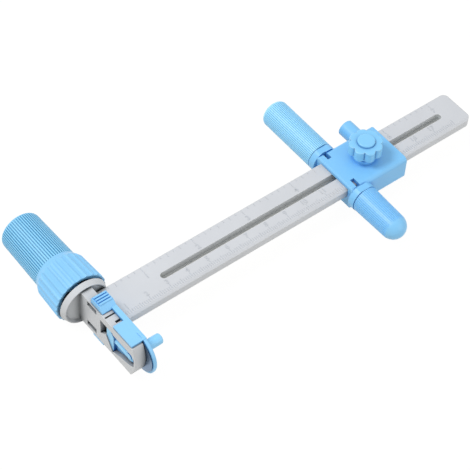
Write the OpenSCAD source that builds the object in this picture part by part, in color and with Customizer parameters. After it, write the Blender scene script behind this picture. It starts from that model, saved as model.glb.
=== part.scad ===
// Rotary circle cutter for cloth and paper: a slotted ruler with a blade end and a pivot carriage.
// Millimetres. The ruler lies along X and both handles point along +Y.
// Working zero: the handle axis, the ruler's middle line and the plane that holds both turning
// axes, the blade axle and the needle. in_place() moves it to the middle of the underside.

/* [Ruler] */
// Length of the ruler from the handle axis to its far end
ruler_l = 188.8; // [180:0.1:240]
// Width of the ruler
ruler_w = 17.3; // [16:0.1:18]
// Thickness of the ruler
ruler_t = 4.2; // [3.8:0.1:4.5]
// Height of the ruler's top face over the turning axes
ruler_top = 3.5; // [3.2:0.1:3.8]
// Radius of the ruler's far corners
ruler_corner_r = 2.6; // [1:0.1:4]
// Width of the bevel that carries the scale's edge
bevel_w = 1.1; // [0.5:0.1:1.6]
// Drop of that bevel
bevel_h = 0.8; // [0.4:0.1:1.2]
// Width of the long slot
slot_w = 3.1; // [3:0.05:3.4]
// Width of the slot at its foot
slot_low_w = 2.1; // [2:0.05:2.4]
// Height of that narrow foot
slot_low_h = 1.2; // [0.8:0.1:1.6]
// Where the slot starts, from the handle axis
slot_x0 = 29.8; // [27:0.1:34]
// Ruler left beyond the slot's far end
slot_land = 10; // [8:0.5:14]

/* [Blade end] */
// Thickness of the blade frame along the ruler
frame_t = 5; // [4.6:0.1:5.4]
// Height of the frame over the axes
frame_top = 8.7; // [8.4:0.1:9]
// Depth of the frame under the axes
frame_low = 8.3; // [8:0.1:8.6]
// How far the frame's rounded end reaches in front of the blade axle
frame_over = 5.2; // [5:0.05:5.6]
// Radius of the frame's rounded end
frame_end_r = 17.2; // [16:0.1:20]
// Distance of the blade axle in front of the ruler's middle line
axle_reach = 21.65; // [21.4:0.05:21.9]
// Diameter of the round blade
blade_d = 18; // [17.8:0.1:18.2]
// Thickness of the blade
blade_t = 0.3; // [0.25:0.05:0.35]
// Radius of the blade's centre hole
blade_bore_r = 3; // [2.8:0.1:3.2]
// Radius of the peg on the end of the axle
peg_r = 2.3; // [2:0.1:2.5]
// Length of that peg beyond the guard
peg_l = 8.75; // [6:0.25:9]
// Radius of the flange disc behind the frame, at its front face
disc_r = 10; // [9.6:0.1:10.2]
// How much wider the disc's back is
disc_flare = 0.9; // [0.5:0.1:1.1]
// Thickness of the disc
disc_t = 2.45; // [2:0.05:2.8]
// Dark gap between the disc and the handle's collar
disc_gap = 1.3; // [1:0.05:1.6]

/* [Guard] */
// Radius of the guard's round cover
guard_r = 10; // [9.9:0.1:10.3]
// Thickness of the round cover
guard_t = 1.65; // [1.4:0.05:2]
// Travel of the guard from safe to cutting
guard_travel = 4.5; // [3.8:0.1:4.6]
// Length of the thumb button
thumb_l = 7.75; // [7:0.05:8]
// Height of the thumb button over the frame
thumb_h = 2.7; // [2:0.1:3.4]
// Thickness of the cover plate over the frame
plate_t = 1; // [0.9:0.05:1.2]

/* [Handle] */
// Radius of the collar's rim
collar_rim_r = 11.9; // [11.7:0.1:13]
// Radius of the collar at its shoulder
collar_r = 11.3; // [11:0.1:11.6]
// Length of the fluted collar
collar_l = 12.95; // [12:0.05:14]
// Length of the curved shoulder
shoulder_l = 4; // [3.5:0.1:5]
// Radius of the grip at the shoulder
grip_root_r = 9.7; // [9.4:0.1:10]
// Radius of the grip at its end
grip_end_r = 9.1; // [8.8:0.1:9.4]
// Length of the ribbed grip
grip_l = 26.5; // [24:0.5:34]
// Number of fine ribs on the grip
grip_ribs = 56; // [40:2:60]
// Number of flutes round the collar
collar_flutes = 24; // [20:2:26]
// Radius of the hub that the handle turns on
hub_r = 4; // [3.7:0.1:4.2]
// Number of teeth on the ratchet wheel, a multiple of four
ratchet_teeth = 24; // [24:4:24]

/* [Carriage] */
// Place of the carriage's near end along the ruler
box_x0 = 119.3; // [100:0.1:125]
// Length of the carriage box
box_l = 30; // [29:0.1:32]
// Width of the carriage box
box_w = 23.2; // [22.8:0.1:24]
// Height of the box over the axes
box_top = 5.7; // [5.5:0.1:6]
// Depth of the box under the axes
box_low = 5.8; // [5.6:0.1:6.1]
// Radius of the box's top edges
box_edge_r = 2; // [1:0.1:2.2]
// Distance of the pivot axis from the near end
pivot_inset = 4.7; // [4.6:0.1:5]
// Radius of the bosses at the pivot axis, which are flat above and below like the box
boss_r = 6.3; // [6.25:0.05:6.6]
// How far those bosses stand out of the box
boss_l = 2.75; // [2.5:0.05:3.2]
// Distance of the clamp knob from the near end
knob_inset = 16; // [15.6:0.1:16.4]
// Distance of the cap's parking stub from the near end
stub_inset = 24; // [23.6:0.1:25]
// Radius of the parking stub
stub_r = 3.7; // [3.6:0.05:3.8]
// Length of the parking stub
stub_l = 9; // [7:0.5:11]

/* [Pivot] */
// Radius of the pivot grip
pivot_grip_r = 6.26; // [6.2:0.02:6.6]
// Length of the pivot grip
pivot_grip_l = 31.7; // [28:0.1:40]
// Number of fine grooves round the pivot grip
pivot_ribs = 48; // [40:2:50]
// Radius of the needle
needle_r = 0.5; // [0.4:0.05:0.6]
// How much deeper than the blade the needle reaches
needle_extra = 1.35; // [1:0.05:1.8]
// Radius of the needle cap at its mouth
cap_mouth_r = 6.1; // [6:0.05:6.3]
// Radius of the needle cap at its dome
cap_end_r = 5.7; // [5.5:0.05:5.9]
// How far the cap reaches beyond the needle's point
cap_over = 6.15; // [5.8:0.05:7]
// Height of the cap's dome
cap_dome_h = 5.9; // [5:0.1:7]
// Number of fine grooves round the cap
cap_ribs = 44; // [36:2:46]

/* [Knob] */
// Radius over the knob's lobes
knob_r = 7.4; // [7:0.1:7.8]
// Number of lobes
knob_lobes = 8; // [6:1:9]
// Height of the lobed part
knob_h = 4.3; // [3.8:0.1:5]
// Radius of the round button in the knob
knob_button_r = 3.8; // [3.2:0.05:3.9]
// Radius of the clamp screw
screw_r = 0.95; // [0.85:0.05:0.95]
// How far the clamp plate drops when the knob is loosened
clamp_drop = 0.525; // [0.4:0.025:0.6]

/* [Hidden] */

// Colours of the mouldings and of the metal pieces
sky = "#8ccdfc";
grey = "#d3d7dd";
steel = "#b9bcc2";
brass = "#c8a850";

// Fineness of small and large rounds
small_fn = 32;
round_fn = 96;
// Overrun of every cut, and overlap of two shapes that are one moulding
over = 1;
lap = 0.5;
// Gap between pieces that slide on each other, and the play of a shaft in its bore
slide_gap = 0.15;
run_gap = 0.1;
shaft_gap = 0.06;
// Seam between two pieces that meet and turn apart, and the break of a moulded edge
seam = 0.3;
edge_break = 0.25;

// Ruler
ruler_y = ruler_w / 2;
ruler_low = ruler_top - ruler_t;
slot_x1 = ruler_l - slot_land;
tenon_w = 4.7;
tenon_h = 2.6;
tenon_l = 3.3;
tenon_y = -tenon_w / 2 - tenon_l / 6;

// Blade end, along the ruler
frame_x = frame_t / 2;
blade_x = frame_x + slide_gap;
guard_x = frame_x + run_gap;
cover_x = blade_x + blade_t + slide_gap + run_gap;
guard_out = cover_x + guard_t;
blade_r = blade_d / 2;
frame_reach = axle_reach + frame_over;
frame_end_y = frame_end_r - frame_reach;
// Height of the middle of the frame's rounded end
frame_end_z = 0.9;
// Slots in the frame's side for the guard's two pegs
slot_a_z = 6.7;
slot_b_z = -5.3;
guide_slot_h = 2.6;
guide_peg_l = 1.5;
guide_y = -1.5;
// Opening in the frame's side: the carrier's bed, then the window at the axle
carrier_back = 9.5;
carrier_l = 4.5;
carrier_y0 = carrier_back - axle_reach;
carrier_y1 = carrier_y0 + carrier_l;
opening_top = 5;
bed_z = -0.5;
bed_low = -7.2;
window_top = 4.3;
window_r = 2.5;
end_wall = 0.9;
// Lower edge of the window: shares of carrier_back from the axle, and of frame_low
window_shares = [[-0.46, 0.22], [-0.07, 0.42], [0.48, 0.57], [0.97, 0.8]];
// Blind pocket beside the bed
pocket_l = 3.75;
pocket_y1 = carrier_y1 + pocket_l;
pocket_slant = 0.3;
pocket_low = -2.9;
pocket_deep = 3.7;
// Front wall of the frame under the pocket, and the hollow behind it
front_wall = 1.2;
hollow_z = -6.8;
// Carrier: its face lies a little below the frame's, and its back is a plate
carrier_sink = 0.5;
carrier_x1 = frame_x - run_gap;
carrier_plate_t = 3;
carrier_slope_y = 2.65;
carrier_slope_z = 1.5;
arm_r = 2;
arm_x = carrier_x1 - arm_r - run_gap;
arm_z = -0.9;
arm_over = 1.25;
arm_y0 = -axle_reach - arm_over;
axle_boss_r = 2.35;
axle_boss_x = -1.4;
// Axle: stem in the carrier and cone at the foot of the peg
stem_r = 1.5;
stem_x = -1.7;
peg_foot_r = peg_r + 0.7;
peg_foot_h = 0.9;
blade_land = 1.5;
// Spring tongue's slit and the notch in the frame's top
tongue_y = -7.1;
tongue_slit = 0.7;
tongue_deep = 1.6;
notch_y = -11.1;
notch_l = 1.1;
notch_w = 2.4;
// Hollow in the disc's front face
dish_rim = 0.4;
dish_deep = 1;

// Guard
strip_top = frame_top + run_gap + plate_t;
strip_under = ruler_top + slide_gap + shaft_gap;
strip_over = ruler_low - slide_gap - run_gap;
thumb_y0 = -4.9;
thumb_y1 = thumb_y0 + thumb_l;
thumb_x0 = -2;
thumb_flat = 5.45;
thumb_edge = 0.5;
thumb_ridges = 4;
ridge_r = 0.5;
ridge_up = 0.15;
ridge_pitch = (thumb_flat - thumb_edge - 2 * ridge_r) / (thumb_ridges - 1);
plate_ahead = 2.5;
cover_plate_l = 11.85;
plate_y0 = -axle_reach - plate_ahead;
plate_y1 = plate_y0 + cover_plate_l;
plate_x0 = -2.3;
wrap_y0 = -5.75;
wrap_y1 = 0.95;
guard_notch_y = -ruler_y - guard_travel - slide_gap - shaft_gap - run_gap;
guard_edge_r = 0.9;

// Handle, along Y from the disc
disc_y = ruler_y;
disc_back = disc_y + disc_t;
collar_y0 = disc_back + disc_gap;
collar_y1 = collar_y0 + collar_l;
grip_y0 = collar_y1 + shoulder_l;
grip_y1 = grip_y0 + grip_l;
grip_edge_r = 2.2;
collar_bore_r = hub_r + shaft_gap;
collar_wall = 1.05;
shoulder_steps = 8;
cavity_r = collar_rim_r - collar_wall;
ratchet_sink = 0.3;
ratchet_y0 = collar_y0 + ratchet_sink;
ratchet_h = 3;
cavity_y1 = ratchet_y0 + ratchet_h + run_gap;
bearing_l = 12.4;
hub_end = cavity_y1 + bearing_l;
neck_r = 7.2;
neck_l = 8.65;
neck_end = grip_y0 + neck_l;
neck_room_r = 6.2;
handle_washer_r = 5.8;
washer_t = 1;
handle_screw_r = 2;
handle_head_r = 3.5;
handle_head_h = 2.2;
grip_room_r = 6.3;
grip_end_t = 2.4;
rib_deep = 0.5;
rib_gap_share = 0.45;
flute_r = 2.15;
flute_deep = 0.45;
flute_sides = 12;

// Ratchet inside the collar
ratchet_root_r = 5.6;
ratchet_tip_r = 6.6;
spring_y0 = ratchet_y0 + ratchet_sink;
spring_h = 2.5;
spring_ring_w = 1.6;
spring_out_r = cavity_r - slide_gap / 3;
// Outline of one pawl, as shares of the ratchet's tip radius
pawl_shares = [[0.017, 0.935], [0.106, 0.935], [0.258, 1.01], [0.985, 1.061], [0.939, 1.197],
    [0.017, 1.091]];

// Carriage
box_x1 = box_x0 + box_l;
box_y = box_w / 2;
pivot_x = box_x0 + pivot_inset;
knob_x = box_x0 + knob_inset;
stub_x = box_x0 + stub_inset;
channel_y = ruler_y + slide_gap;
channel_z0 = ruler_low - slide_gap;
channel_z1 = ruler_top + slide_gap;
boss_y = box_y + boss_l;
boss_root = 0.3;
box_end_edge = 0.6;
window_w = 2;
window_l = 4.1;
window_x0 = pivot_x - window_w;
window_wall = 0.9;
window_skin = 0.05;
window_edge = box_y - window_skin;
hook_inset = 2.2;
hook_y0 = box_y - hook_inset;
hook_t = 1.2;
hook_top = 0.5;
base_t = 1.6;
base_top = base_t - box_low;
base_inset = 1.7;
base_side = 0.65;
base_y = ruler_y - base_side;
plate_l = 14;
clamp_plate_w = 14;
clamp_gap = 0.03;
clamp_play = 0.25;
clamp_top = ruler_low - clamp_gap;
clamp_plate_t = clamp_top - base_top - clamp_drop - clamp_play;
knob_seat_r = 5;
knob_seat_h = 1.9;
knob_seat_z = box_top + knob_seat_h;
nose_r = stub_r - slide_gap / 3;
nose_l = 5.65;
spigot_r = 4;
spigot_l = 9.6;
spigot_end = boss_y + spigot_l;
foot_edge_r = 1;

// Pivot
pivot_y0 = boss_y + seam;
pivot_y1 = pivot_y0 + pivot_grip_l;
pivot_edge_r = 2.4;
pivot_bore_r = spigot_r + shaft_gap;
pivot_room_r = 4.95;
plug_l = 4;
grip_washer_r = 4.7;
grip_screw_r = 1.5;
grip_head_r = 2.8;
grip_head_h = 1.9;
holder_r = 2;
holder_sink = 0.4;
holder_out = 0.5;
holder_y0 = holder_sink - box_y;
holder_y1 = -boss_y - nose_l - holder_out;
needle_tip_y = -axle_reach - blade_r - needle_extra;
needle_point = 3;
cap_y0 = -boss_y - seam;
cap_tip = needle_tip_y - cap_over;
cap_y1 = cap_tip + cap_dome_h;
cap_bore_r = stub_r + shaft_gap;
cap_room_r = 2.6;
cap_room_over = 1.5;
cap_room_y = needle_tip_y - cap_room_over;
fine_rib_w = 0.35;
fine_rib_deep = 0.25;

// Knob
knob_neck_r = 4.5;
knob_neck_z = knob_seat_z + run_gap / 2;
knob_neck_h = 1.95;
knob_flange_z = knob_neck_z + knob_neck_h;
knob_flange_t = 0.8;
knob_flange_in = 1.1;
knob_edge_r = 0.7;
lobe_r = 2.4;
knob_top = knob_flange_z + knob_flange_t + knob_h;
button_h = 1.2;
button_edge_r = 0.6;
screw_head_r = 2.75;
screw_head_h = 2;
button_deep = 3;
screw_head_z = knob_top - button_deep;
screw_end_gap = 0.3;
screw_end_z = base_top + screw_end_gap;
nut_r = 3.1;
nut_t = 2.1;
nut_sides = 6;

// Middle of the whole cutter's box
mid_x = (ruler_l - collar_rim_r) / 2;
mid_y = (grip_y1 + cap_tip) / 2;

module in_place() {
    translate([-mid_x, -mid_y, collar_rim_r]) children();
}

module block(from, to) {
    translate(from) cube(to - from);
}

module rod_x(y, z, x0, x1, r, sides = round_fn) {
    translate([x0, y, z]) rotate([0, 90, 0]) cylinder(h = x1 - x0, r = r, $fn = sides);
}

module rod_y(x, z, y0, y1, r, sides = round_fn) {
    translate([x, y0, z]) rotate([-90, 0, 0]) cylinder(h = y1 - y0, r = r, $fn = sides);
}

module rod_z(x, y, z0, z1, r, sides = round_fn) {
    translate([x, y, z0]) cylinder(h = z1 - z0, r = r, $fn = sides);
}

// A profile of [radius, y] points turned about a line along Y
module turned_y(x, points, sides = round_fn) {
    translate([x, 0, 0]) rotate([-90, 0, 0]) rotate_extrude($fn = sides) polygon(points);
}

// Points of a quarter arc from one angle to another, with a rounded profile's centre and radius
function arc(cx, cy, r, a0, a1, steps = 6) =
    [for (i = [0:steps]) let (a = a0 + (a1 - a0) * i / steps) [cx + r * cos(a), cy + r * sin(a)]];

// Points of a dome's half profile, from beside its tip to its foot at y
function dome(r, y, rise, steps) =
    [for (i = [1:steps]) let (a = i * 90 / steps) [r * sin(a), y - rise * cos(a)]];

// Fine straight grooves round a grip along Y, whose radius goes from r0 at y0 to r1 at y1
module grooves(x, n, w, deep, y0, y1, r0, r1) {
    taper = atan((r0 - r1) / (y1 - y0));
    translate([x, 0, 0]) for (i = [0:n - 1]) rotate([0, i * 360 / n, 0])
        translate([r0 - deep, y0, 0]) rotate([0, 0, taper])
            block([0, -2 * over, -w / 2], [2 * over, y1 - y0 + 2 * over, w / 2]);
}

// A flat plate of the given size whose four corners are round
module round_plate(w, h, r) {
    translate([r, 0]) square([w - 2 * r, h]);
    translate([0, r]) square([w, h - 2 * r]);
    for (x = [r, w - r], y = [r, h - r]) translate([x, y]) circle(r = r, $fn = small_fn);
}

// The long slot with its two round ends, w wide
module long_slot(w, z0, z1) {
    ends = [slot_x0 + slot_w / 2, slot_x1 - slot_w / 2];
    block([ends[0], -w / 2, z0], [ends[1], w / 2, z1]);
    for (x = ends) rod_z(x, 0, z0, z1, w / 2);
}

// The grey ruler: one flat moulding with a long slot that narrows at its foot, a bevelled front
// edge and a tenon that is welded into the blade frame.
module ruler() {
    plan_l = ruler_l - frame_x;
    color(grey) in_place() {
        difference() {
            translate([frame_x, -ruler_y, ruler_low]) linear_extrude(ruler_t) union() {
                square([plan_l - ruler_corner_r, ruler_w]);
                translate([plan_l / 2, 0]) round_plate(plan_l / 2, ruler_w, ruler_corner_r);
            }
            long_slot(slot_w, ruler_low + slot_low_h, ruler_top + over);
            long_slot(slot_low_w, ruler_low - over, ruler_low + slot_low_h + lap);
            translate([frame_x - over, -ruler_y, 0]) rotate([90, 0, 90])
                linear_extrude(ruler_l) polygon([[-over, ruler_top - bevel_h],
                    [0, ruler_top - bevel_h], [bevel_w, ruler_top], [bevel_w, ruler_top + over],
                    [-over, ruler_top + over]]);
        }
        block([frame_x - tenon_l, tenon_y, ruler_top - tenon_h - bevel_h],
            [frame_x + bevel_w, tenon_y + tenon_w, ruler_top - bevel_h]);
    }
}

// The slab of the blade frame, with its shallow round end
module frame_slab() {
    block([-frame_x, frame_end_y, -frame_low], [frame_x, disc_y + over, frame_top]);
    intersection() {
        block([-frame_x, -frame_reach - over, -frame_low], [frame_x, frame_end_y + over, frame_top]);
        rod_x(frame_end_y, frame_end_z, -frame_x - over, frame_x + over, frame_end_r);
    }
}

// The opening in the frame's side from x0 to x1: bed of the carrier and window round the axle
module opening_form(x0, x1) {
    intersection() {
        translate([x0, 0, 0]) rotate([90, 0, 90]) linear_extrude(x1 - x0) polygon(concat(
            [[carrier_y1, bed_z], [carrier_y1, opening_top], [carrier_y0, opening_top],
                [carrier_y0, window_top]],
            arc(end_wall + window_r - frame_reach, window_top - window_r, window_r, 90, 180),
            [for (p = window_shares) [p[0] * carrier_back - axle_reach, -p[1] * frame_low]],
            [[carrier_y0, bed_low]]));
        rod_x(frame_end_y, frame_end_z, x0 - over, x1 + over, frame_end_r - end_wall);
    }
}

// A slot through the frame's side in which one guide peg of the guard travels
module guide_slot(z) {
    block([-frame_x - over, guide_y, z - guide_slot_h / 2],
        [frame_x + over, guide_y + guide_peg_l + guard_travel + slide_gap, z + guide_slot_h / 2]);
}

// The grey blade frame: slab, flange disc and the hub that the handle turns on, in one moulding.
module blade_frame() {
    color(grey) in_place() difference() {
        union() {
            frame_slab();
            turned_y(0, [[0, disc_y + dish_deep], [disc_r - dish_rim - dish_deep, disc_y + dish_deep],
                [disc_r - dish_rim, disc_y], [disc_r, disc_y], [disc_r + disc_flare, disc_back],
                [0, disc_back]]);
            rod_y(0, 0, disc_back - over, hub_end, hub_r);
        }
        rod_y(0, 0, disc_back, hub_end + over, handle_screw_r);
        for (z = [slot_a_z, slot_b_z]) guide_slot(z);
        opening_form(-frame_x - over, frame_x + over);
        translate([-frame_x - over, 0, 0]) rotate([90, 0, 90]) linear_extrude(pocket_deep + over)
            polygon([[carrier_y1 - lap, opening_top], [carrier_y1 - lap, bed_z], [carrier_y1, bed_z],
                [pocket_y1 - pocket_slant, pocket_low], [pocket_y1, opening_top]]);
        block([front_wall - frame_x, carrier_y1, hollow_z],
            [pocket_deep - frame_x, pocket_y1 - pocket_slant, bed_z]);
        block([-frame_x + tongue_slit / 2, tongue_y, frame_top - tongue_deep],
            [frame_x + over, tongue_y + tongue_slit, frame_top + over]);
        block([frame_x - notch_w, notch_y, frame_top - tongue_deep],
            [frame_x + over, notch_y + notch_l, frame_top + over]);
        block([frame_x - tenon_l, tenon_y, ruler_top - tenon_h - bevel_h],
            [frame_x + over, tenon_y + tenon_w, ruler_top - bevel_h]);
    }
}

// The blue carrier pressed into the frame: back plate, block, round arm and the axle's boss.
module axle_carrier() {
    face_x = carrier_sink - frame_x;
    color(sky) in_place() difference() {
        union() {
            opening_form(carrier_x1 - carrier_plate_t, carrier_x1);
            translate([face_x, 0, 0]) rotate([90, 0, 90]) linear_extrude(carrier_x1 - face_x)
                polygon([[carrier_y1, bed_z], [carrier_y1, opening_top],
                    [carrier_y0 + carrier_slope_y, opening_top], [carrier_y0, carrier_slope_z],
                    [carrier_y0, bed_low]]);
            translate([0, 0, arm_z]) turned_y(arm_x, concat([[0, carrier_y0 + over],
                [0, arm_y0 - arm_r]], dome(arm_r, arm_y0, arm_r, 6), [[arm_r, carrier_y0 + over]]));
            rod_x(-axle_reach, 0, axle_boss_x, carrier_x1, axle_boss_r);
        }
        rod_x(-axle_reach, 0, -frame_x - over, frame_x + over, stem_r);
    }
}

// The blade's axle: stem in the carrier, journal that the blade turns on, and the long peg.
module blade_axle() {
    color(sky) in_place() {
        rod_x(-axle_reach, 0, stem_x, blade_x - run_gap, stem_r);
        rod_x(-axle_reach, 0, frame_x, blade_x + blade_t + run_gap, blade_bore_r - shaft_gap);
        translate([guard_out, -axle_reach, 0]) rotate([0, 90, 0]) rotate_extrude($fn = round_fn)
            polygon(concat([[0, blade_x + blade_t - guard_out], [peg_r, blade_x + blade_t - guard_out],
                [peg_r, run_gap], [peg_foot_r, run_gap], [peg_r, run_gap + peg_foot_h]],
                arc(peg_r - guard_edge_r, peg_l - guard_edge_r, guard_edge_r, 0, 90), [[0, peg_l]]));
    }
}

// Sawtooth wheel fixed on the hub, which the two pawls of the handle drive one way.
module ratchet_wheel() {
    step = 360 / ratchet_teeth;
    color(grey) in_place() difference() {
        translate([0, ratchet_y0, 0]) rotate([-90, 0, 0]) linear_extrude(ratchet_h) polygon([
            for (i = [0:ratchet_teeth - 1], r = [ratchet_root_r, ratchet_tip_r])
                [r * cos(i * step), r * sin(i * step)]]);
        rod_y(0, 0, ratchet_y0 - over, ratchet_y0 + ratchet_h + over, hub_r);
    }
}

// Steel washer on the end of the hub, which keeps the handle on.
module handle_washer() {
    color(steel) in_place() difference() {
        rod_y(0, 0, hub_end, hub_end + washer_t, handle_washer_r);
        rod_y(0, 0, hub_end - over, hub_end + washer_t + over, handle_screw_r);
    }
}

// Steel screw in the hub.
module handle_screw() {
    head_y = hub_end + washer_t;
    color(steel) in_place() {
        rod_y(0, 0, disc_back + over, head_y + lap, handle_screw_r);
        rod_y(0, 0, head_y, head_y + handle_head_h, handle_head_r);
    }
}

// Round steel blade with a bevelled cutting edge.
module rotary_blade() {
    color(steel) in_place() translate([blade_x, -axle_reach, 0]) rotate([0, 90, 0])
        rotate_extrude($fn = round_fn) polygon([[blade_bore_r, 0], [blade_r - blade_land, 0],
            [blade_r, blade_t / 2 - blade_t / 8], [blade_r, blade_t / 2 + blade_t / 8],
            [blade_r - blade_land, blade_t], [blade_bore_r, blade_t]]);
}

// The button of the guard, seen from the side: flat ridged top and a long front slope
module thumb_button() {
    top = frame_top + run_gap + thumb_h;
    foot = frame_top + run_gap;
    translate([thumb_x0, 0, 0]) rotate([90, 0, 90]) linear_extrude(guard_out - thumb_x0)
        polygon([[thumb_y0, foot], [thumb_y1, foot], [thumb_y1, top - thumb_edge],
            [thumb_y1 - thumb_edge, top], [thumb_y1 - thumb_flat, top], [thumb_y0, foot + thumb_edge]]);
    for (i = [0:thumb_ridges - 1]) {
        y = thumb_y1 - thumb_edge - ridge_r - i * ridge_pitch;
        rod_x(y, top + ridge_up, thumb_x0 + thumb_edge, guard_out - thumb_edge, ridge_r, small_fn);
    }
}

// The blue guard: round cover beside the blade, plate over the frame, two strips that pass the
// ruler above and below, the thumb button, the foot that wraps under the frame and two guide pegs.
module guard_slider() {
    peg_room = peg_r + slide_gap;
    sweep_r = blade_r + slide_gap + run_gap;
    color(sky) in_place() difference() {
        union() {
            translate([cover_x, -axle_reach, 0]) rotate([0, 90, 0]) rotate_extrude($fn = round_fn)
                polygon(concat([[0, 0], [guard_r, 0]],
                    arc(guard_r - guard_edge_r, guard_t - guard_edge_r, guard_edge_r, 0, 90),
                    [[0, guard_t]]));
            block([guard_x, -axle_reach, strip_under], [guard_out, thumb_y1, strip_top]);
            block([guard_x, -axle_reach, -strip_top], [guard_out, wrap_y1, strip_over]);
            block([plate_x0, plate_y0, frame_top + run_gap], [guard_out, plate_y1, strip_top]);
            thumb_button();
            block([plate_x0, wrap_y0, -strip_top], [guard_out, wrap_y1, -frame_low - run_gap]);
            for (z = [slot_a_z, slot_b_z]) {
                block([0, guide_y + run_gap / 2, z - guide_slot_h / 2 + run_gap],
                    [guard_x + over, guide_y + guide_peg_l, z + guide_slot_h / 2 - run_gap]);
            }
        }
        block([frame_x, guard_notch_y, strip_over], [guard_out + over, over, strip_under]);
        for (y = [0, guard_travel]) {
            rod_x(-axle_reach - y, 0, frame_x, cover_x, sweep_r);
            rod_x(-axle_reach - y, 0, frame_x, guard_out + over, peg_room);
        }
        block([frame_x, -axle_reach - guard_travel, -peg_room], [guard_out + over, -axle_reach, peg_room]);
        block([frame_x, -axle_reach - guard_travel, -sweep_r], [cover_x, -axle_reach, sweep_r]);
    }
}

// The handle's fluted collar: rim, curved shoulder, ratchet chamber, bearing bore and neck.
module handle_collar() {
    shoulder_r = collar_r - grip_root_r;
    taper = atan((collar_rim_r - collar_r) / collar_l);
    color(sky) in_place() difference() {
        turned_y(0, concat([[0, collar_y0], [collar_rim_r - edge_break, collar_y0],
            [collar_rim_r, collar_y0 + edge_break], [collar_r, collar_y1]],
            [for (i = [1:shoulder_steps]) let (a = i * 180 / shoulder_steps)
                [collar_r - shoulder_r * (1 - cos(a)) / 2, collar_y1 + shoulder_l * i / shoulder_steps]],
            [[neck_r, grip_y0], [neck_r, neck_end], [0, neck_end]]));
        for (i = [0:collar_flutes - 1]) rotate([0, (i + 0.5) * 360 / collar_flutes, 0])
            translate([collar_rim_r - flute_deep + flute_r * cos(180 / flute_sides), collar_y0, 0])
                rotate([0, 0, taper]) rotate([0, 180 / flute_sides, 0])
                    rod_y(0, 0, -over, collar_l + 2 * over, flute_r, flute_sides);
        rod_y(0, 0, collar_y0 - over, cavity_y1, cavity_r);
        rod_y(0, 0, cavity_y1 - over, hub_end + over, collar_bore_r);
        rod_y(0, 0, hub_end - slide_gap, neck_end + over, neck_room_r);
    }
}

// The handle's ribbed grip: a hollow sleeve pushed over the collar's neck.
module handle_grip() {
    rib_w = 2 * PI * grip_root_r / grip_ribs * rib_gap_share;
    color(sky) in_place() difference() {
        turned_y(0, concat([[0, grip_y0], [grip_root_r, grip_y0]],
            arc(grip_end_r - grip_edge_r, grip_y1 - grip_edge_r, grip_edge_r, 0, 90),
            [[0, grip_y1]]));
        grooves(0, grip_ribs, rib_w, rib_deep, grip_y0, grip_y1 - grip_edge_r, grip_root_r, grip_end_r);
        rod_y(0, 0, grip_y0 - over, neck_end + run_gap, neck_r);
        rod_y(0, 0, grip_y0, grip_y1 - grip_end_t, grip_room_r);
    }
}

// Ring with two sprung pawls, held in the collar round the ratchet wheel.
module ratchet_spring() {
    color(sky) in_place() translate([0, spring_y0, 0]) rotate([-90, 0, 0]) {
        difference() {
            cylinder(h = spring_h, r = spring_out_r, $fn = round_fn);
            translate([0, 0, -over])
                cylinder(h = spring_h + 2 * over, r = spring_out_r - spring_ring_w, $fn = round_fn);
        }
        for (turn = [0, 180]) rotate([0, 0, turn]) linear_extrude(spring_h)
            polygon([for (p = pawl_shares) p * ratchet_tip_r]);
    }
}

// Outline of the carriage box across the ruler: rounder at the top edges than at the foot
module box_outline() {
    translate([-box_y, 0]) {
        translate([0, -box_low]) round_plate(box_w, box_low + box_top - box_edge_r, foot_edge_r);
        translate([0, -foot_edge_r]) round_plate(box_w, box_top + foot_edge_r, box_edge_r);
    }
}

// Slot through the box's top and side wall in which one hook of the base stands
module hook_slot(side) {
    edge = side > 0 ? window_edge - window_l : -box_y + window_wall;
    block([window_x0, edge, channel_z0], [window_x0 + window_w, edge + window_l, box_top + over]);
    mirror([0, side > 0 ? 0 : 1, 0]) {
        block([window_x0, hook_y0, -box_low - over],
            [window_x0 + window_w, hook_y0 + hook_t, channel_z1]);
        block([window_x0, base_y - over, -box_low - over],
            [window_x0 + window_w, hook_y0 + lap, base_top]);
    }
}

// The blue carriage: box round the ruler, bosses at the pivot axis, nose, spigot, stub and seat.
module carriage_body() {
    color(sky) in_place() difference() {
        union() {
            difference() {
                translate([box_x0, 0, 0]) rotate([90, 0, 90]) linear_extrude(box_l) box_outline();
                translate([0, box_y + over, 0]) rotate([90, 0, 0]) linear_extrude(box_w + 2 * over)
                    polygon([[box_x0 - over, box_top + over], [box_x0 - over, box_top - box_end_edge],
                        [box_x0, box_top - box_end_edge], [box_x0 + box_end_edge, box_top],
                        [box_x0 + box_end_edge, box_top + over]]);
            }
            for (side = [0, 1]) mirror([0, side, 0]) intersection() {
                rod_y(pivot_x, 0, box_y - boss_root, boss_y, boss_r);
                block([pivot_x - boss_r - over, 0, -box_low], [pivot_x + boss_r + over, boss_y + over, box_top]);
            }
            rod_y(pivot_x, 0, -boss_y - nose_l, -boss_y + over, nose_r);
            rod_y(pivot_x, 0, boss_y - over, spigot_end, spigot_r);
            rod_y(stub_x, 0, box_y - over, box_y + stub_l, stub_r);
            rod_z(knob_x, 0, box_top - over, knob_seat_z, knob_seat_r);
        }
        block([box_x0 - over, -channel_y, channel_z0], [box_x1 + over, channel_y, channel_z1]);
        block([knob_x - plate_l / 2 - slide_gap, -clamp_plate_w / 2 - slide_gap, base_top - over],
            [knob_x + plate_l / 2 + slide_gap, clamp_plate_w / 2 + slide_gap, channel_z0 + over]);
        block([box_x0 + base_inset, -base_y, -box_low - over], [box_x1 - base_inset, base_y, base_top]);
        for (side = [-1, 1]) hook_slot(side);
        rod_z(knob_x, 0, channel_z1 - over, knob_seat_z + over, screw_r + shaft_gap);
        rod_y(pivot_x, 0, holder_y1 - over, holder_y0, holder_r);
        rod_y(pivot_x, 0, box_y + over, spigot_end + over, grip_screw_r);
    }
}

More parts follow.
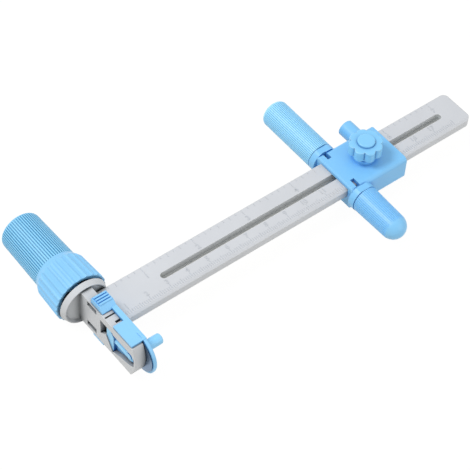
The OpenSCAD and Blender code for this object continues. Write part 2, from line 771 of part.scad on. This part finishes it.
// The base under the clamp plate, with the two hooks that show in the box's windows.
module carriage_base() {
    color(sky) in_place() {
        block([box_x0 + base_inset, -base_y, -box_low], [box_x1 - base_inset, base_y, base_top]);
        for (side = [0, 1]) mirror([0, side, 0]) {
            block([window_x0 + run_gap, hook_y0, -box_low],
                [window_x0 + window_w - run_gap, hook_y0 + hook_t, hook_top]);
            block([window_x0 + run_gap, base_y - over, -box_low],
                [window_x0 + window_w - run_gap, hook_y0 + lap, base_top]);
        }
    }
}

// Brass bush in the carriage's nose, which grips the needle.
module needle_holder() {
    color(brass) in_place() difference() {
        rod_y(pivot_x, 0, holder_y1, holder_y0, holder_r);
        rod_y(pivot_x, 0, holder_y1 - over, holder_y0 - over, needle_r);
    }
}

// The steel pivot needle.
module needle() {
    color(steel) in_place() turned_y(pivot_x, [[0, needle_tip_y], [needle_r, needle_tip_y + needle_point],
        [needle_r, holder_y0 - over], [0, holder_y0 - over]], small_fn);
}

// Steel washer on the end of the spigot, which keeps the pivot grip on.
module grip_washer() {
    color(steel) in_place() difference() {
        rod_y(pivot_x, 0, spigot_end, spigot_end + washer_t, grip_washer_r);
        rod_y(pivot_x, 0, spigot_end - over, spigot_end + washer_t + over, grip_screw_r);
    }
}

// Steel screw in the spigot.
module grip_screw() {
    head_y = spigot_end + washer_t;
    color(steel) in_place() {
        rod_y(pivot_x, 0, box_y + over, head_y + lap, grip_screw_r);
        rod_y(pivot_x, 0, head_y, head_y + grip_head_h, grip_head_r);
    }
}

// The pivot grip's outer form, with its rounded end
module pivot_grip_form() {
    turned_y(pivot_x, concat([[0, pivot_y0], [pivot_grip_r, pivot_y0]],
        arc(pivot_grip_r - pivot_edge_r, pivot_y1 - pivot_edge_r, pivot_edge_r, 0, 90),
        [[0, pivot_y1]]));
}

// The pivot grip, held still by the fingers while the cutter turns round it.
module pivot_grip() {
    color(sky) in_place() difference() {
        pivot_grip_form();
        grooves(pivot_x, pivot_ribs, fine_rib_w, fine_rib_deep, pivot_y0, pivot_y1 - pivot_edge_r,
            pivot_grip_r, pivot_grip_r);
        rod_y(pivot_x, 0, pivot_y0 - over, spigot_end + over, pivot_bore_r);
        rod_y(pivot_x, 0, spigot_end - slide_gap, pivot_y1 + over, pivot_room_r);
    }
}

// Plug that closes the end of the pivot grip.
module grip_end_plug() {
    color(sky) in_place() intersection() {
        pivot_grip_form();
        rod_y(pivot_x, 0, pivot_y1 - plug_l, pivot_y1 + over, pivot_room_r);
    }
}

// The domed cap over the needle. It pulls off and parks on the carriage's stub.
module needle_cap() {
    color(sky) in_place() difference() {
        turned_y(pivot_x, concat([[0, cap_y0], [0, cap_tip]], dome(cap_end_r, cap_y1, cap_dome_h, 12),
            [[cap_mouth_r, cap_y0]]));
        grooves(pivot_x, cap_ribs, fine_rib_w, fine_rib_deep, cap_y1, cap_y0, cap_end_r, cap_mouth_r);
        rod_y(pivot_x, 0, -boss_y - nose_l - slide_gap, cap_y0 + over, cap_bore_r);
        rod_y(pivot_x, 0, cap_room_y, cap_y0, cap_room_r);
    }
}

// The clamp knob: neck, round base and eight broad lobes with a softened top edge.
module clamp_knob() {
    lobe_place = knob_r - lobe_r;
    lobes_z = knob_flange_z + knob_flange_t;
    color(sky) in_place() difference() {
        union() {
            rod_z(knob_x, 0, knob_neck_z, knob_flange_z + lap, knob_neck_r);
            rod_z(knob_x, 0, knob_flange_z, lobes_z, knob_r - knob_flange_in);
            intersection() {
                translate([knob_x, 0, lobes_z - lap]) linear_extrude(knob_h + lap) union() {
                    circle(r = lobe_place, $fn = round_fn);
                    for (i = [0:knob_lobes - 1]) rotate(i * 360 / knob_lobes + 180 / knob_lobes)
                        translate([lobe_place, 0]) circle(r = lobe_r, $fn = small_fn);
                }
                translate([knob_x, 0, 0]) rotate_extrude($fn = round_fn) polygon(concat(
                    [[0, knob_flange_z], [knob_r + over, knob_flange_z],
                        [knob_r + over, knob_top - knob_edge_r]],
                    arc(knob_r - knob_edge_r, knob_top - knob_edge_r, knob_edge_r, 0, 90),
                    [[0, knob_top]]));
            }
        }
        rod_z(knob_x, 0, screw_head_z, knob_top + over, knob_button_r);
        rod_z(knob_x, 0, knob_neck_z - over, knob_top + over, screw_r);
    }
}

// Round button that covers the screw's head.
module knob_button() {
    rise = knob_top + button_h;
    color(sky) in_place() translate([knob_x, 0, 0]) rotate_extrude($fn = round_fn) polygon(concat(
        [[0, screw_head_z + screw_head_h], [knob_button_r, screw_head_z + screw_head_h]],
        arc(knob_button_r - button_edge_r, rise - button_edge_r, button_edge_r, 0, 90), [[0, rise]]));
}

// Steel clamp screw, which turns with the knob.
module clamp_screw() {
    color(steel) in_place() {
        rod_z(knob_x, 0, screw_end_z, screw_head_z + lap, screw_r);
        rod_z(knob_x, 0, screw_head_z, screw_head_z + screw_head_h, screw_head_r, nut_sides);
    }
}

// Clamp plate under the ruler, drawn up by the screw.
module clamp_plate() {
    color(grey) in_place() difference() {
        block([knob_x - plate_l / 2, -clamp_plate_w / 2, clamp_top - clamp_plate_t],
            [knob_x + plate_l / 2, clamp_plate_w / 2, clamp_top]);
        rod_z(knob_x, 0, clamp_top - clamp_plate_t - over, clamp_top + over, screw_r + run_gap);
        rod_z(knob_x, 0, clamp_top - clamp_plate_t - over, clamp_top - clamp_plate_t + nut_t, nut_r,
            nut_sides);
    }
}

// Hexagonal brass nut in the clamp plate.
module clamp_nut() {
    color(brass) in_place() difference() {
        rod_z(knob_x, 0, clamp_top - clamp_plate_t, clamp_top - clamp_plate_t + nut_t, nut_r, nut_sides);
        rod_z(knob_x, 0, clamp_top - clamp_plate_t - over, clamp_top + over, screw_r + shaft_gap);
    }
}

ruler();
blade_frame();
axle_carrier();
blade_axle();
ratchet_wheel();
handle_washer();
handle_screw();
rotary_blade();
guard_slider();
handle_collar();
handle_grip();
ratchet_spring();
carriage_body();
carriage_base();
needle_holder();
needle();
grip_washer();
grip_screw();
pivot_grip();
grip_end_plug();
needle_cap();
clamp_knob();
knob_button();
clamp_screw();
clamp_plate();
clamp_nut();
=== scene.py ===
import bmesh
import bpy
from mathutils import Matrix, Vector


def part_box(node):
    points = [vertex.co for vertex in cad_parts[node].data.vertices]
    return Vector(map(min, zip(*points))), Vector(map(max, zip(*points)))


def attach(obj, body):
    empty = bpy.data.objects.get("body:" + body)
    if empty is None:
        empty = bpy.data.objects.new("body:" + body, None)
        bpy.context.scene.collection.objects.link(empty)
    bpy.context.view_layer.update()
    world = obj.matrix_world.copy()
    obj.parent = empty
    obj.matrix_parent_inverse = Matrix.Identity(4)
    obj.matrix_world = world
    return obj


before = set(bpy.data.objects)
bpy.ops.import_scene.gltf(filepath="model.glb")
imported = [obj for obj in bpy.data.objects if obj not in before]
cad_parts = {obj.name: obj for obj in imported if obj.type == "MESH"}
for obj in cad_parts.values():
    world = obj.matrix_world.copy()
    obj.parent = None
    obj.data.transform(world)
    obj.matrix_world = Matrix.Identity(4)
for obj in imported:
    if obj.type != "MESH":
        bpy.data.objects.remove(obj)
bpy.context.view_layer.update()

MM = 0.001


# Studio: the cutter lies on a white table and stands on the rim of its big handle.
# A lit white room gives the soft light, one broad lamp from the upper left shapes the faces, a
# pale card in front fills their shade, and the camera stands where the photographer stood.

def paint(red, green, blue):
    """A colour given as it shows on a screen, 0 to 255, turned into the light that shaders mix."""
    shares = [value / 255 for value in (red, green, blue)]
    linear = [s / 12.92 if s <= 0.04045 else ((s + 0.055) / 1.055) ** 2.4 for s in shares]
    return (*linear, 1.0)


def new_material(name):
    material = bpy.data.materials.new(name)
    material.use_nodes = True
    return material, material.node_tree


def set_inputs(node, values):
    """Sets a node's inputs by name, with _ written for a space."""
    for label, value in values.items():
        node.inputs[label.replace("_", " ")].default_value = value
    return node


def add_node(tree, kind, **values):
    return set_inputs(tree.nodes.new("ShaderNode" + kind), values)


def add_sum(tree, operation, *numbers):
    """Arithmetic on a first number that comes by a link, with these numbers after it."""
    node = tree.nodes.new("ShaderNodeMath")
    node.operation = operation
    for place, number in enumerate(numbers, start=1):
        node.inputs[place].default_value = number
    return node


def link(tree, source, target):
    tree.links.new(source, target)


TABLE_HALF = 3.0
TABLE_DROP = 0.2 * MM
TABLE_TONE = paint(207, 203, 194)
TABLE_GLOW = 1.07
TABLE_GLOW_SHARE = 0.9
ROOM_GLOW = 0.68
CUTTER_MIDDLE = (0.0, 0.0, 0.0)
SENSOR_MM = 36


def lay_table():
    """The table top. Its glow is there for the camera and for mirrors alone: it keeps the table
    white to the eye and leaves the cutter a trace of soft shadow."""
    mesh = bpy.data.meshes.new("table_top")
    corners = [(x * TABLE_HALF, y * TABLE_HALF, -TABLE_DROP)
               for x, y in ((-1, -1), (1, -1), (1, 1), (-1, 1))]
    mesh.from_pydata(corners, [], [(0, 1, 2, 3)])
    table = bpy.data.objects.new("table_top", mesh)
    bpy.context.collection.objects.link(table)
    white, tree = new_material("white_table")
    tree.nodes.clear()
    output = add_node(tree, "OutputMaterial")
    matt = add_node(tree, "BsdfDiffuse", Color=TABLE_TONE)
    glow = add_node(tree, "Emission", Strength=TABLE_GLOW)
    seen = add_node(tree, "LightPath")
    either = add_sum(tree, "MAXIMUM")
    share = add_sum(tree, "MULTIPLY", TABLE_GLOW_SHARE)
    mix = add_node(tree, "MixShader")
    link(tree, seen.outputs["Is Camera Ray"], either.inputs[0])
    link(tree, seen.outputs["Is Glossy Ray"], either.inputs[1])
    link(tree, either.outputs[0], share.inputs[0])
    link(tree, share.outputs[0], mix.inputs[0])
    link(tree, matt.outputs[0], mix.inputs[1])
    link(tree, glow.outputs[0], mix.inputs[2])
    link(tree, mix.outputs[0], output.inputs["Surface"])
    mesh.materials.append(white)


def light_room():
    """White walls all round, full white where the camera looks past the table."""
    room = bpy.data.worlds.new("white_room")
    room.use_nodes = True
    tree = room.node_tree
    walls = tree.nodes["Background"]
    walls.inputs["Color"].default_value = (1, 1, 1, 1)
    seen = add_node(tree, "LightPath")
    level = add_node(tree, "Mix", A=ROOM_GLOW, B=1.0)
    link(tree, seen.outputs["Is Camera Ray"], level.inputs["Factor"])
    link(tree, level.outputs["Result"], walls.inputs["Strength"])
    bpy.context.scene.world = room


def hang_lamp(name, place, size, watts):
    """A square lamp that faces the cutter's middle."""
    lamp = bpy.data.lights.new(name, "AREA")
    lamp.shape = "SQUARE"
    lamp.size = size
    lamp.energy = watts
    holder = bpy.data.objects.new(name, lamp)
    holder.location = place
    aim = Vector(CUTTER_MIDDLE) - Vector(place)
    holder.rotation_euler = aim.to_track_quat("-Z", "Y").to_euler()
    bpy.context.collection.objects.link(holder)


def place_camera(place, right, up, lens):
    """A camera by its place and by the directions of its picture's right and top."""
    back = Vector(right).cross(Vector(up))
    turn = Matrix((right, up, back)).transposed().to_4x4()
    camera = bpy.data.objects.new("camera", bpy.data.cameras.new("camera"))
    camera.data.lens = lens
    camera.data.sensor_width = SENSOR_MM
    camera.data.clip_start = 10 * MM
    camera.matrix_world = Matrix.Translation(place) @ turn
    bpy.context.collection.objects.link(camera)
    bpy.context.scene.camera = camera


bpy.context.scene.view_settings.view_transform = "Standard"
lay_table()
light_room()
hang_lamp("window_lamp", place=(-0.42, 0.22, 0.764), size=0.3, watts=3.6)
hang_lamp("front_card", place=(0.30, -0.62, 0.20), size=0.5, watts=0.9)
place_camera(place=(-0.344947, -0.374000, 0.610369), right=(0.78530, -0.61724, 0.04817),
             up=(0.45464, 0.62774, 0.63186), lens=146.34)


# Plastics: every moulding is polypropylene out of a spark-eroded steel tool. The tool leaves a
# fine even grain and edges come out slightly round; each moulding also gets a painted highlight along
# its edges and painted shade in its grooves, recesses and corners.

PLASTIC_IOR = 1.49
CLOUDS_PER_METRE = 90.0
GRAIN_HEIGHT = 0.025 * MM
# The painted edge highlight starts where the rounded normal leaves the flat face's: cosines of that
# angle
EDGE_STARTS, EDGE_FULL = 0.98, 0.80
# Painted shade darkens a groove, recess or corner as less open space is left around it: shares of open
# space
SHADE_STARTS, SHADE_FULL = 0.92, 0.35


def new_group(name, wanted, given):
    """An empty shader group with the named inputs, each with its own value, and outputs."""
    group = bpy.data.node_groups.new(name, "ShaderNodeTree")
    for label, kind, value in wanted:
        socket = group.interface.new_socket(label, in_out="INPUT", socket_type=kind)
        socket.default_value = value
    for label, kind in given:
        group.interface.new_socket(label, in_out="OUTPUT", socket_type=kind)
    return group, group.nodes.new("NodeGroupInput"), group.nodes.new("NodeGroupOutput")


def vary(group, take, give, swing, contrast):
    """Lets a swing from -1 to 1, times a contrast, shift the group's colour and roughness."""
    amount = add_sum(group, "MULTIPLY")
    bright = add_sum(group, "ADD", 1.0)
    tone = add_node(group, "HueSaturation")
    gloss = add_sum(group, "ADD")
    link(group, swing, amount.inputs[0])
    link(group, contrast, amount.inputs[1])
    link(group, amount.outputs[0], bright.inputs[0])
    link(group, bright.outputs[0], tone.inputs["Value"])
    link(group, take.outputs["Colour"], tone.inputs["Color"])
    link(group, tone.outputs["Color"], give.inputs["Colour"])
    link(group, take.outputs["Roughness"], gloss.inputs[0])
    link(group, amount.outputs[0], gloss.inputs[1])
    link(group, gloss.outputs[0], give.inputs["Roughness"])


def make_moulded_skin():
    """Tool grain as a height, with broad flow clouds that shift tone and gloss."""
    group, take, give = new_group(
        "Moulded skin",
        [("Colour", "NodeSocketColor", (0.8, 0.8, 0.8, 1)), ("Clouds", "NodeSocketFloat", 0.04),
         ("Grain per metre", "NodeSocketFloat", 2600.0), ("Roughness", "NodeSocketFloat", 0.4)],
        [("Colour", "NodeSocketColor"), ("Roughness", "NodeSocketFloat"), ("Height", "NodeSocketFloat")])
    where = add_node(group, "TexCoord")
    clouds = add_node(group, "TexNoise", Scale=CLOUDS_PER_METRE, Detail=3.0)
    grain = add_node(group, "TexNoise", Detail=2.0)
    swing = add_sum(group, "MULTIPLY_ADD", 2.0, -1.0)
    link(group, where.outputs["Object"], clouds.inputs["Vector"])
    link(group, where.outputs["Object"], grain.inputs["Vector"])
    link(group, take.outputs["Grain per metre"], grain.inputs["Scale"])
    link(group, clouds.outputs["Fac"], swing.inputs[0])
    link(group, grain.outputs["Fac"], give.inputs["Height"])
    vary(group, take, give, swing.outputs[0], take.outputs["Clouds"])
    return group


def make_round_edges():
    """The small radius on a piece's edges: its normal, and a mask of where the edge is."""
    group, take, give = new_group(
        "Round edges", [("Radius", "NodeSocketFloat", 0.0002)],
        [("Normal", "NodeSocketVector"), ("Edge", "NodeSocketFloat")])
    rounding = add_node(group, "Bevel")
    rounding.samples = 6
    surface = add_node(group, "NewGeometry")
    same = add_node(group, "VectorMath")
    same.operation = "DOT_PRODUCT"
    edge = add_node(group, "MapRange", From_Min=EDGE_STARTS, From_Max=EDGE_FULL)
    link(group, take.outputs["Radius"], rounding.inputs["Radius"])
    link(group, rounding.outputs["Normal"], same.inputs[0])
    link(group, surface.outputs["Normal"], same.inputs[1])
    link(group, same.outputs["Value"], edge.inputs["Value"])
    link(group, rounding.outputs["Normal"], give.inputs["Normal"])
    link(group, edge.outputs["Result"], give.inputs["Edge"])
    return group


moulded_skin = make_moulded_skin()
round_edges = make_round_edges()


def add_group(tree, group, **values):
    """A shader group in a material, with its values set by name."""
    node = add_node(tree, "Group")
    node.node_tree = group
    return set_inputs(node, values)


def blend_to(tree, colour):
    """A mix from a linked colour to the given one, by a linked share."""
    node = add_node(tree, "Mix")
    node.data_type = "RGBA"
    node.inputs["B"].default_value = colour
    return node


def surface_with(tree, shader, skin, edges, depth):
    """Gives the shader its skin's gloss and relief, laid over the rounded edges."""
    bump = add_node(tree, "Bump", Distance=depth)
    link(tree, skin.outputs["Roughness"], shader.inputs["Roughness"])
    link(tree, skin.outputs["Height"], bump.inputs["Height"])
    link(tree, edges.outputs["Normal"], bump.inputs["Normal"])
    link(tree, bump.outputs["Normal"], shader.inputs["Normal"])


def plastic(name, colour, highlight_tone, shade_tone, roughness, reach=1.2 * MM, radius=0.2 * MM):
    """One coloured moulding with a painted highlight along its edges and painted shade in its grooves,
    recesses and corners, where other surfaces stand near. The reach is how far off such surfaces
    count, and the radius is that of the edges."""
    material, tree = new_material(name)
    shader = tree.nodes["Principled BSDF"]
    shader.inputs["IOR"].default_value = PLASTIC_IOR
    skin = add_group(tree, moulded_skin, Colour=colour, Roughness=roughness)
    edges = add_group(tree, round_edges, Radius=radius)
    highlighted = blend_to(tree, highlight_tone)
    shaded = blend_to(tree, shade_tone)
    corner = add_node(tree, "AmbientOcclusion", Distance=reach)
    corner.samples = 8
    shade_share = add_node(tree, "MapRange", From_Min=SHADE_STARTS, From_Max=SHADE_FULL)
    # The two blends paint light and shade: paler towards the highlight colour on the edges, darker
    # towards the shade colour where the occlusion finds surfaces close by.
    link(tree, edges.outputs["Edge"], highlighted.inputs["Factor"])
    link(tree, skin.outputs["Colour"], highlighted.inputs["A"])
    link(tree, corner.outputs["AO"], shade_share.inputs["Value"])
    link(tree, shade_share.outputs["Result"], shaded.inputs["Factor"])
    link(tree, highlighted.outputs["Result"], shaded.inputs["A"])
    link(tree, shaded.outputs["Result"], shader.inputs["Base Color"])
    surface_with(tree, shader, skin, edges, GRAIN_HEIGHT)
    return material


def dress(material, *names):
    """Gives carried-over pieces of the frame their finish."""
    for name in names:
        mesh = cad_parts[name].data
        if mesh.materials:
            for place in range(len(mesh.materials)):
                mesh.materials[place] = material
        else:
            mesh.materials.append(material)


# Grey plastic: its second colour is a painted edge highlight, its third a painted shade for the slot and
# other hollows.
grey_plastic = plastic("grey_plastic", paint(206, 209, 214), paint(240, 241, 243),
                       paint(202, 205, 204), 0.42, reach=4 * MM, radius=0.6 * MM)


# Metals: ground steel for the blade, plated steel for screws, washers and needle, turned brass.
# All of them are round and were turned or ground, so their tooling lines run round the axis.

METAL_EDGE = 0.08 * MM
TOOLING_DEPTH = 0.006 * MM
# The two directions that tooling lines turn in, for a piece whose axis is X, Y or Z
ROUND_X, ROUND_Y, ROUND_Z = (0, 1, 1), (1, 0, 1), (1, 1, 0)


def make_turned_lines():
    """Rings left by a lathe or a grinding wheel round an axis, as a tone and a height."""
    group, take, give = new_group(
        "Turned lines",
        [("Colour", "NodeSocketColor", (0.5, 0.5, 0.5, 1)), ("Centre", "NodeSocketVector", (0, 0, 0)),
         ("Across", "NodeSocketVector", (0, 1, 1)), ("Lines per metre", "NodeSocketFloat", 6000.0),
         ("Contrast", "NodeSocketFloat", 0.1), ("Roughness", "NodeSocketFloat", 0.3)],
        [("Colour", "NodeSocketColor"), ("Roughness", "NodeSocketFloat"), ("Height", "NodeSocketFloat")])
    where = add_node(group, "TexCoord")
    out = add_node(group, "VectorMath")
    out.operation = "SUBTRACT"
    flat = add_node(group, "VectorMath")
    flat.operation = "MULTIPLY"
    radius = add_node(group, "VectorMath")
    radius.operation = "LENGTH"
    rings = add_node(group, "TexNoise", Detail=4.0)
    rings.noise_dimensions = "1D"
    swing = add_node(group, "MapRange", From_Min=0.3, From_Max=0.7, To_Min=-1.0)
    link(group, where.outputs["Object"], out.inputs[0])
    link(group, take.outputs["Centre"], out.inputs[1])
    link(group, out.outputs["Vector"], flat.inputs[0])
    link(group, take.outputs["Across"], flat.inputs[1])
    link(group, flat.outputs["Vector"], radius.inputs[0])
    link(group, radius.outputs["Value"], rings.inputs["W"])
    link(group, take.outputs["Lines per metre"], rings.inputs["Scale"])
    link(group, rings.outputs["Fac"], swing.inputs["Value"])
    link(group, rings.outputs["Fac"], give.inputs["Height"])
    vary(group, take, give, swing.outputs["Result"], take.outputs["Contrast"])
    return group


turned_lines = make_turned_lines()


def metal(name, colour, roughness, node, across, contrast):
    """A bare metal whose tooling lines run round the middle of a named node."""
    low, high = (Vector(corner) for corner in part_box(node))
    material, tree = new_material(name)
    shader = tree.nodes["Principled BSDF"]
    shader.inputs["Metallic"].default_value = 1.0
    lines = add_group(tree, turned_lines, Colour=colour, Centre=(low + high) / 2, Across=across,
                      Contrast=contrast, Roughness=roughness)
    edges = add_group(tree, round_edges, Radius=METAL_EDGE)
    link(tree, lines.outputs["Colour"], shader.inputs["Base Color"])
    surface_with(tree, shader, lines, edges, TOOLING_DEPTH)
    return material


# Ruler: one flat grey moulding, welded to the blade frame by a tenon. Its centimetre and inch
# scales stand a hair proud of the face, as lines and figures cut into the same steel tool. They are
# painted a little darker than the face, as painted shade for their small relief.
dress(grey_plastic, "ruler")
# The scale greys, a little darker than the face, are painted shade for the relief; their paler second
# colours are painted edge highlights and their third colours painted shade at their feet.
scale_grey = plastic("scale_grey", paint(196, 200, 207), paint(216, 219, 224),
                     paint(174, 177, 183), 0.46, radius=0.05 * MM)
faint_grey = plastic("faint_grey", paint(200, 203, 209), paint(220, 222, 226),
                     paint(180, 183, 188), 0.46, radius=0.05 * MM)

ruler_lo, ruler_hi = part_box("ruler")
FACE = ruler_hi[2]
SCALE_ZERO = ruler_hi[0] - 188.5 * MM
INCH = 25.4 * MM
LINE_WIDTH = 0.34 * MM
LINE_RISE = 0.16 * MM
LINE_ROOT = 0.05 * MM
TYPE_SIZE = 1.4
STROKE_SPREAD = 0.035 * MM

# Each scale's edge, where its lines start, and the row of its figures. A line takes its length
# from the first step that divides its number; the inch lines run back from their edge.
CENTIMETRE_EDGE = ruler_lo[1] + 1.15 * MM
CENTIMETRE_ROW = ruler_lo[1] + 5.3 * MM
CENTIMETRE_STEPS = ((10, 2.9 * MM), (5, 2.3 * MM), (1, 1.7 * MM))
INCH_EDGE = ruler_hi[1] - 0.35 * MM
INCH_ROW = ruler_lo[1] + 12.2 * MM
INCH_STEPS = ((8, -3.0 * MM), (4, -2.1 * MM), (2, -1.5 * MM), (1, -1.0 * MM))


def add_line(shape, x, y0, y1):
    """One raised scale line: a low bar whose four sides lean in, as they must leave the tool."""
    foot, crest = LINE_WIDTH / 2, LINE_WIDTH / 4
    rings = []
    for reach, height in ((foot, FACE - LINE_ROOT), (foot, FACE), (crest, FACE + LINE_RISE)):
        inset = foot - reach
        low, high = min(y0, y1) + inset, max(y0, y1) - inset
        rings.append([shape.verts.new(corner) for corner in (
            (x - reach, low, height), (x + reach, low, height),
            (x + reach, high, height), (x - reach, high, height))])
    for lower, upper in zip(rings, rings[1:]):
        for i in range(4):
            shape.faces.new((lower[i], lower[(i + 1) % 4], upper[(i + 1) % 4], upper[i]))
    shape.faces.new(rings[0][::-1])
    shape.faces.new(rings[-1])


def finish_mesh(name, shape, material, body):
    """Turns a built shape into a piece that rides on a body."""
    mesh = bpy.data.meshes.new(name)
    bmesh.ops.recalc_face_normals(shape, faces=shape.faces)
    shape.to_mesh(mesh)
    shape.free()
    mesh.materials.append(material)
    piece = bpy.data.objects.new(name, mesh)
    bpy.context.collection.objects.link(piece)
    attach(piece, body)


def rule_lines(name, material, numbers, pitch, edge, steps):
    """A row of scale lines. Each has the length of the first step that divides its number."""
    shape = bmesh.new()
    for number in numbers:
        length = next(length for step, length in steps if number % step == 0)
        add_line(shape, SCALE_ZERO + number * pitch, edge, edge + length)
    finish_mesh(name, shape, material, "bar")


def raise_figures(name, numbers, pitch, row, height):
    """The scale's figures: stroked digits with a thin flat top, standing on the ruler's face."""
    shape = bmesh.new()
    for number in numbers:
        writing = bpy.data.curves.new(name, "FONT")
        writing.body = str(number)
        writing.size = height * TYPE_SIZE
        writing.align_x, writing.align_y = "CENTER", "CENTER"
        writing.extrude = LINE_RISE / 2
        writing.resolution_u = 3
        writing.offset = STROKE_SPREAD
        holder = bpy.data.objects.new(name, writing)
        holder.location = (SCALE_ZERO + number * pitch, row, FACE + LINE_RISE / 2 - LINE_ROOT)
        bpy.context.collection.objects.link(holder)
        bpy.context.view_layer.update()
        digits = bpy.data.meshes.new_from_object(holder.evaluated_get(
            bpy.context.evaluated_depsgraph_get()))
        digits.transform(holder.matrix_world)
        shape.from_mesh(digits)
        bpy.data.objects.remove(holder)
        bpy.data.curves.remove(writing)
        bpy.data.meshes.remove(digits)
    finish_mesh(name, shape, scale_grey, "bar")


rule_lines("centimetre_lines", scale_grey, range(6, 181), MM, CENTIMETRE_EDGE, CENTIMETRE_STEPS)
rule_lines("inch_lines", faint_grey, range(2, 57), INCH / 8, INCH_EDGE, INCH_STEPS)
raise_figures("centimetre_figures", range(1, 18), 10 * MM, CENTIMETRE_ROW, height=2.3 * MM)
raise_figures("inch_figures", range(1, 8), INCH, INCH_ROW, height=2.5 * MM)


# Blade end: the grey frame with its hub and the blue carrier pressed into its window, both in
# polypropylene. The ground steel blade turns on an axle that is moulded on its own and held by
# the carrier, and the blue guard clips over it on two pegs that slide in the frame's slots.
# Each plastic here gets a painted edge highlight and painted shade, strong in the frame's slots, pockets
# and disc face and in the carrier's window corners.
frame_grey = plastic("frame_grey", paint(204, 207, 211), paint(232, 234, 236),
                     paint(96, 101, 104), 0.44, reach=4 * MM, radius=0.3 * MM)
carrier_sky = plastic("carrier_sky", paint(148, 214, 254), paint(180, 226, 255),
                      paint(38, 104, 182), 0.34, reach=4 * MM)
guard_sky = plastic("guard_sky", paint(140, 205, 250), paint(180, 222, 254),
                    paint(66, 148, 218), 0.36, reach=2.5 * MM, radius=0.08 * MM)
# The blade's dark blue-grey is painted shade and a painted blue reflection, laid into the steel's
# colour.
blade_steel = metal("blade_steel", paint(112, 136, 164), 0.26, "rotary_blade", ROUND_X, 0.10)
dress(frame_grey, "blade_frame")
dress(carrier_sky, "axle_carrier", "blade_axle")
dress(blade_steel, "rotary_blade")
dress(guard_sky, "guard_slider")


# Handle: a fluted collar and a ribbed grip, two blue mouldings pressed together, turn on the
# frame's hub and are kept by a plated washer and screw. A grey ratchet wheel is fixed on the hub
# inside the collar, and a ring with two sprung pawls clicks round it.
# The second colours are painted edge highlights, the third ones painted shade in the flutes and rib
# grooves.
collar_sky = plastic("collar_sky", paint(136, 201, 245), paint(172, 220, 252),
                     paint(70, 142, 200), 0.36, reach=2 * MM)
rib_sky = plastic("rib_sky", paint(138, 208, 245), paint(174, 222, 252),
                  paint(88, 164, 206), 0.36, radius=0.06 * MM)
handle_steel = metal("handle_steel", paint(190, 192, 196), 0.3, "handle_screw", ROUND_Y, 0.06)
dress(collar_sky, "handle_collar", "ratchet_spring")
dress(rib_sky, "handle_grip")
dress(frame_grey, "ratchet_wheel")
dress(handle_steel, "handle_washer", "handle_screw")


# Carriage: one blue box moulded round the ruler's path, with a stub beside the knob that parks
# the cap. The base snaps in from below by two hooks, which stand in the two small windows of
# the box's top.
# Its second colour is a painted edge highlight, its third a saturated painted shade for the windows,
# corners and the box top round the knob.
carriage_sky = plastic("carriage_sky", paint(130, 200, 249), paint(172, 220, 254),
                       paint(66, 148, 220), 0.36, reach=2.5 * MM)
dress(carriage_sky, "carriage_body", "carriage_base")


# Pivot: a steel needle pressed into a turned brass bush in the carriage's nose. The slim ribbed
# grip turns on a spigot on the box's other side, kept by a washer and a screw under a plug, and
# the ribbed cap with its domed end pushes over the needle.
# Second colours are painted edge highlights, third ones painted shade in the rib grooves.
pivot_sky = plastic("pivot_sky", paint(166, 230, 255), paint(192, 238, 255),
                    paint(100, 182, 236), 0.36, reach=0.7 * MM, radius=0.04 * MM)
cap_sky = plastic("cap_sky", paint(134, 202, 248), paint(160, 214, 252),
                  paint(122, 196, 246), 0.36, reach=0.7 * MM, radius=0.04 * MM)
bush_brass = metal("bush_brass", paint(214, 178, 92), 0.28, "needle_holder", ROUND_Y, 0.07)
pivot_steel = metal("pivot_steel", paint(194, 196, 200), 0.24, "needle", ROUND_Y, 0.05)
dress(pivot_sky, "pivot_grip", "grip_end_plug")
dress(cap_sky, "needle_cap")
dress(bush_brass, "needle_holder")
dress(pivot_steel, "needle", "grip_washer", "grip_screw")


# Clamp: the lobed knob is moulded in the same blue, with a round button over the head of its
# plated screw. The screw runs down through the ruler's slot into a brass nut in a grey plate,
# which grips the ruler from below.
# Its pale second colour is a painted highlight on the lobes' rims, its third a painted shade in the
# flutes and at its foot.
knob_sky = plastic("knob_sky", paint(136, 206, 250), paint(198, 234, 255),
                   paint(62, 124, 188), 0.27, reach=2.5 * MM, radius=0.4 * MM)
clamp_steel = metal("clamp_steel", paint(190, 192, 196), 0.3, "clamp_screw", ROUND_Z, 0.06)
nut_brass = metal("nut_brass", paint(210, 174, 90), 0.32, "clamp_nut", ROUND_Z, 0.06)
dress(knob_sky, "clamp_knob", "knob_button")
dress(clamp_steel, "clamp_screw")
dress(grey_plastic, "clamp_plate")
dress(nut_brass, "clamp_nut")
